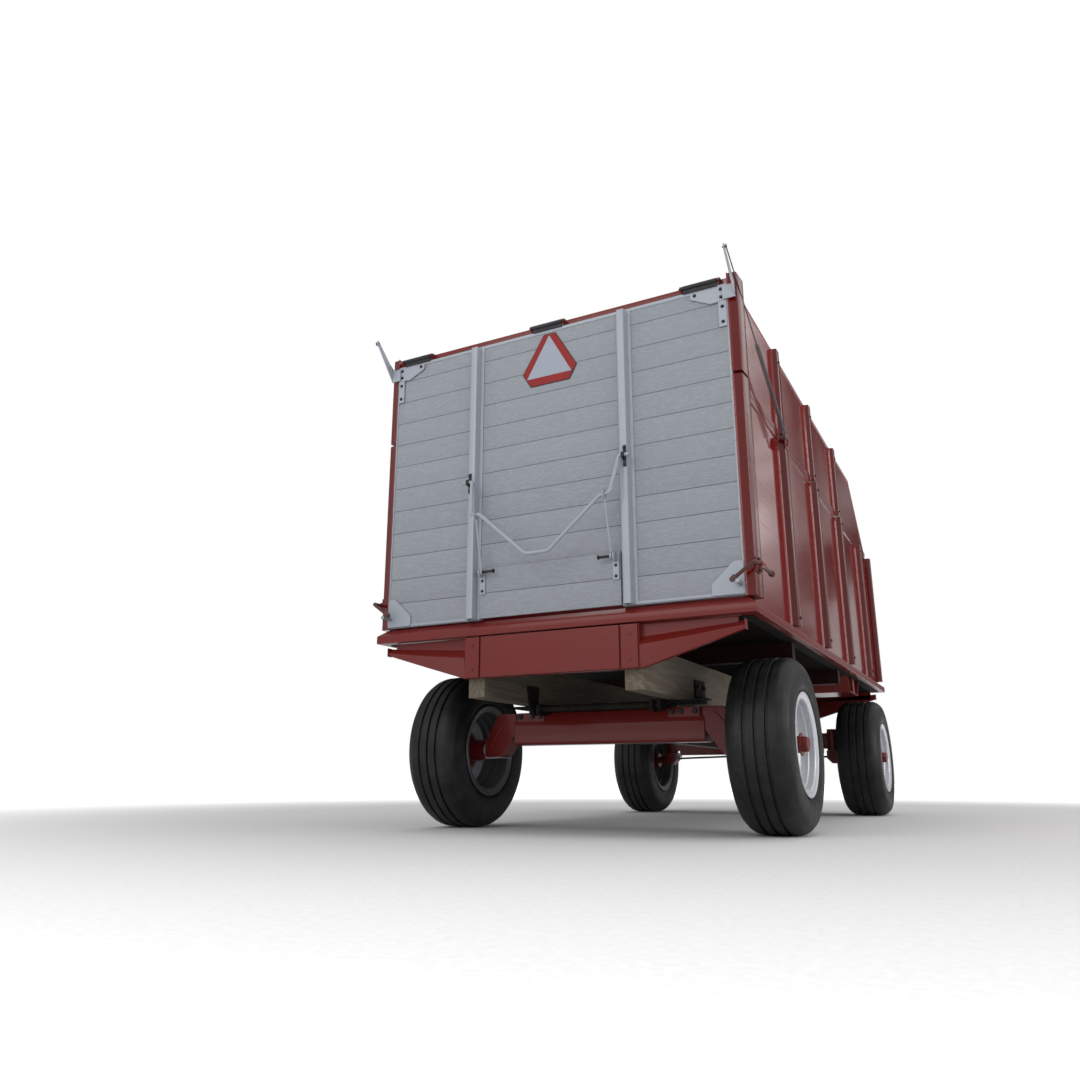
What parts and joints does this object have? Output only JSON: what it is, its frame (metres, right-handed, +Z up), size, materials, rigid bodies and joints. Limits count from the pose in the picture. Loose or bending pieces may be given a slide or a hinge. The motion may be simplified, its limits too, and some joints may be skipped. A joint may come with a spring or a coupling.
{
  "type": "grain cart",
  "caption": "Four-wheel steered farm cart with a tipping grain box, stakes and extension sides, a top-hung spring-assisted tailgate and a sliding grain door with its bent handle.",
  "frame": {"origin": "on the ground under the middle of the whole cart's box", "axes": "+X to the cart's right-hand side seen from behind, +Y forwards along the drawbar, +Z up"},
  "size_m": [1.9366, 5.572, 2.453],
  "materials": {
    "red_paint": "gloss enamel, slightly dulled",
    "board_paint": "painted boards, satin",
    "grey_steel": "satin grey paint",
    "galvanised": "galvanised",
    "spring_steel": "dull, oiled",
    "sill_wood": "weathered timber",
    "floor_wood": "worn floor boards",
    "tyre": "dull rubber",
    "rim_silver": "silver paint",
    "dark_steel": "dark, oiled",
    "chrome_rod": "hard chrome",
    "sign_red": "reflective sheet"
  },
  "bodies": {
    "running_gear": {"rear_axle": "red_paint", "front_axle": "red_paint", "reach_pole": "red_paint", "rear_bolster": "red_paint", "front_bolster": "red_paint", "hoist_saddle": "red_paint", "tip_shaft": "dark_steel"},
    "wheel_rear_right": {"tyre_rear_right": "tyre", "rim_rear_right": "rim_silver", "hub_rear_right": "red_paint"},
    "wheel_front_right": {"tyre_front_right": "tyre", "rim_front_right": "rim_silver", "hub_front_right": "red_paint"},
    "knuckle_right": {"knuckle_right": "red_paint"},
    "tie_rod_right": {"tie_rod_right": "dark_steel"},
    "wheel_rear_left": {"tyre_rear_left": "tyre", "rim_rear_left": "rim_silver", "hub_rear_left": "red_paint"},
    "wheel_front_left": {"tyre_front_left": "tyre", "rim_front_left": "rim_silver", "hub_front_left": "red_paint"},
    "knuckle_left": {"knuckle_left": "red_paint"},
    "tie_rod_left": {"tie_rod_left": "dark_steel"},
    "steering": {"steering_yoke": "red_paint"},
    "hitch": {"drawbar": "red_paint"},
    "box": {"sill_right": "sill_wood", "sill_left": "sill_wood", "rear_end_frame": "red_paint", "front_end_frame": "red_paint", "cross_member_rear": "red_paint", "cross_member_hoist": "red_paint", "cross_member_outrigger": "red_paint", "bottom_rail": "red_paint", "floor": "floor_wood", "lower_side_right": "red_paint", "lower_side_left": "red_paint", "upper_side_right": "red_paint", "upper_side_left": "red_paint", "front_wall": "red_paint", "gate_header": "red_paint"},
    "assist_right": {"assist_spring_right": "spring_steel"},
    "assist_left": {"assist_spring_left": "spring_steel"},
    "hoist_cylinder": {"hoist_barrel": "red_paint"},
    "hoist_piston": {"hoist_rod": "chrome_rod"},
    "tailgate": {"gate_boards_middle": "board_paint", "gate_boards_right": "board_paint", "gate_boards_left": "board_paint", "gate_channel_right": "grey_steel", "gate_channel_left": "grey_steel", "gate_top_rail": "grey_steel", "corner_bracket_right": "galvanised", "corner_bracket_left": "galvanised", "slow_emblem": "sign_red"},
    "grain_door": {"grain_door": "board_paint"},
    "handle": {"door_handle": "grey_steel"},
    "link_right": {"door_link_right": "grey_steel"},
    "latch_right": {"gate_latch_right": "red_paint"},
    "link_left": {"door_link_left": "grey_steel"},
    "latch_left": {"gate_latch_left": "red_paint"}
  },
  "joints": [
    {"name": "steer", "type": "hinge", "parent": "running_gear", "child": "steering", "pos_m": [0, 0.74497, 0.45], "axis": [0, 0, 1], "range_deg": [-30, 30]},
    {"name": "wheel_rear_right_spin", "type": "hinge", "parent": "running_gear", "child": "wheel_rear_right", "pos_m": [0.817, -1.98103, 0.387], "axis": [1, 0, 0], "continuous": true},
    {"name": "knuckle_right_turn", "type": "hinge", "parent": "running_gear", "child": "knuckle_right", "pos_m": [0.6, 0.63497, 0.45], "axis": [0, 0, 1], "range_deg": [-30, 30]},
    {"name": "wheel_front_right_spin", "type": "hinge", "parent": "knuckle_right", "child": "wheel_front_right", "pos_m": [0.817, 0.63497, 0.387], "axis": [1, 0, 0], "continuous": true},
    {"name": "tie_rod_right_swing", "type": "hinge", "parent": "steering", "child": "tie_rod_right", "pos_m": [0, 0.87497, 0.4], "axis": [0, 0, 1], "range_deg": [-30, 30]},
    {"name": "wheel_rear_left_spin", "type": "hinge", "parent": "running_gear", "child": "wheel_rear_left", "pos_m": [-0.817, -1.98103, 0.387], "axis": [1, 0, 0], "continuous": true},
    {"name": "knuckle_left_turn", "type": "hinge", "parent": "running_gear", "child": "knuckle_left", "pos_m": [-0.6, 0.63497, 0.45], "axis": [0, 0, 1], "range_deg": [-30, 30]},
    {"name": "wheel_front_left_spin", "type": "hinge", "parent": "knuckle_left", "child": "wheel_front_left", "pos_m": [-0.817, 0.63497, 0.387], "axis": [1, 0, 0], "continuous": true},
    {"name": "tie_rod_left_swing", "type": "hinge", "parent": "steering", "child": "tie_rod_left", "pos_m": [0, 0.87497, 0.4], "axis": [0, 0, 1], "range_deg": [-30, 30]},
    {"name": "drawbar_lift", "type": "hinge", "parent": "steering", "child": "hitch", "pos_m": [0, 0.98497, 0.425], "axis": [1, 0, 0], "range_deg": [0, 55]},
    {"name": "box_tip", "type": "hinge", "parent": "running_gear", "child": "box", "pos_m": [0, -2.14103, 0.575], "axis": [1, 0, 0], "range_deg": [0, 45]},
    {"name": "hoist_swing", "type": "hinge", "parent": "running_gear", "child": "hoist_cylinder", "pos_m": [0, -1.46103, 0.58], "axis": [1, 0, 0], "range_deg": [0, 63.91]},
    {"name": "hoist_extend", "type": "slide", "parent": "hoist_cylinder", "child": "hoist_piston", "axis": [0, 0.9701, 0.2425], "range_m": [0, 0.3774]},
    {"name": "tailgate_swing", "type": "hinge", "parent": "box", "child": "tailgate", "pos_m": [0, -2.63603, 2.373], "axis": [1, 0, 0], "range_deg": [-90, 0]},
    {"name": "assist_right_swing", "type": "hinge", "parent": "box", "child": "assist_right", "pos_m": [0.955, -1.84103, 1.88], "axis": [1, 0, 0], "range_deg": [-9.92, 0], "deforming": ["assist_spring_right"]},
    {"name": "assist_left_swing", "type": "hinge", "parent": "box", "child": "assist_left", "pos_m": [-0.955, -1.84103, 1.88], "axis": [1, 0, 0], "range_deg": [-9.92, 0], "deforming": ["assist_spring_left"]},
    {"name": "handle_swing", "type": "hinge", "parent": "tailgate", "child": "handle", "pos_m": [0, -2.68903, 1.61], "axis": [1, 0, 0], "range_deg": [-70, 0]},
    {"name": "grain_door_slide", "type": "slide", "parent": "tailgate", "child": "grain_door", "axis": [0, 0, 1], "range_m": [0, 0.24653]},
    {"name": "link_right_swing", "type": "hinge", "parent": "grain_door", "child": "link_right", "pos_m": [0.3265, -2.67103, 1.165], "axis": [1, 0, 0], "range_deg": [0, 34.46]},
    {"name": "link_left_swing", "type": "hinge", "parent": "grain_door", "child": "link_left", "pos_m": [-0.3265, -2.67103, 1.165], "axis": [1, 0, 0], "range_deg": [0, 34.46]},
    {"name": "latch_right_turn", "type": "hinge", "parent": "box", "child": "latch_right", "pos_m": [0.945, -2.59103, 1.072], "axis": [0, 1, 0], "range_deg": [0, 120]},
    {"name": "latch_left_turn", "type": "hinge", "parent": "box", "child": "latch_left", "pos_m": [-0.945, -2.59103, 1.072], "axis": [0, -1, 0], "range_deg": [0, 120]}
  ],
  "couplings": [
    {"joint": "knuckle_right_turn", "follows": "steer", "ratio": 1},
    {"joint": "tie_rod_right_swing", "follows": "steer", "ratio": -1},
    {"joint": "knuckle_left_turn", "follows": "steer", "ratio": 1},
    {"joint": "tie_rod_left_swing", "follows": "steer", "ratio": -1},
    {"joint": "hoist_swing", "follows": "box_tip", "ratio": 1.418},
    {"joint": "hoist_extend", "follows": "box_tip", "m_per_rad": 0.47925},
    {"joint": "assist_right_swing", "follows": "tailgate_swing", "ratio": 0.10911},
    {"joint": "assist_left_swing", "follows": "tailgate_swing", "ratio": 0.10911},
    {"joint": "grain_door_slide", "follows": "handle_swing", "m_per_rad": -0.20097},
    {"joint": "link_right_swing", "follows": "handle_swing", "ratio": -0.49085},
    {"joint": "link_left_swing", "follows": "handle_swing", "ratio": -0.49085}
  ]
}
